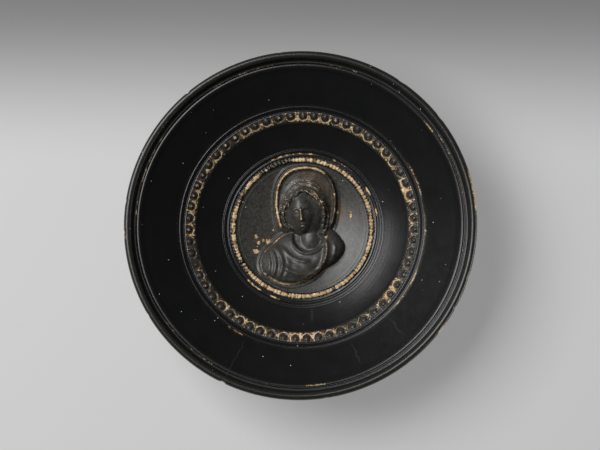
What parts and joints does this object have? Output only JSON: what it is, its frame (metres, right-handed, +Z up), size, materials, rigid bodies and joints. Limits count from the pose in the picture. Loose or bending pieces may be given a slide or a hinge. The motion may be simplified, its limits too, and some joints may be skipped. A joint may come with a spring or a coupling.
{
  "type": "terracotta bowl",
  "caption": "Shallow black-gloss terracotta bowl on a ring foot, with an egg and dart ring, a fine bead ring and a draped, veiled bust in relief in its floor.",
  "frame": {"origin": "centre of the plane that the ring foot rests on", "axes": "+Z up out of the bowl's mouth, +Y towards the top of the bust's head, +X to the right of the bust as it is seen from above"},
  "size_m": [0.1702, 0.1684, 0.0476],
  "materials": {
    "black_gloss_clay": "satin black gloss worn to tan clay on the raised edges"
  },
  "bodies": {
    "root": {"bowl": "black_gloss_clay"}
  },
  "joints": []
}
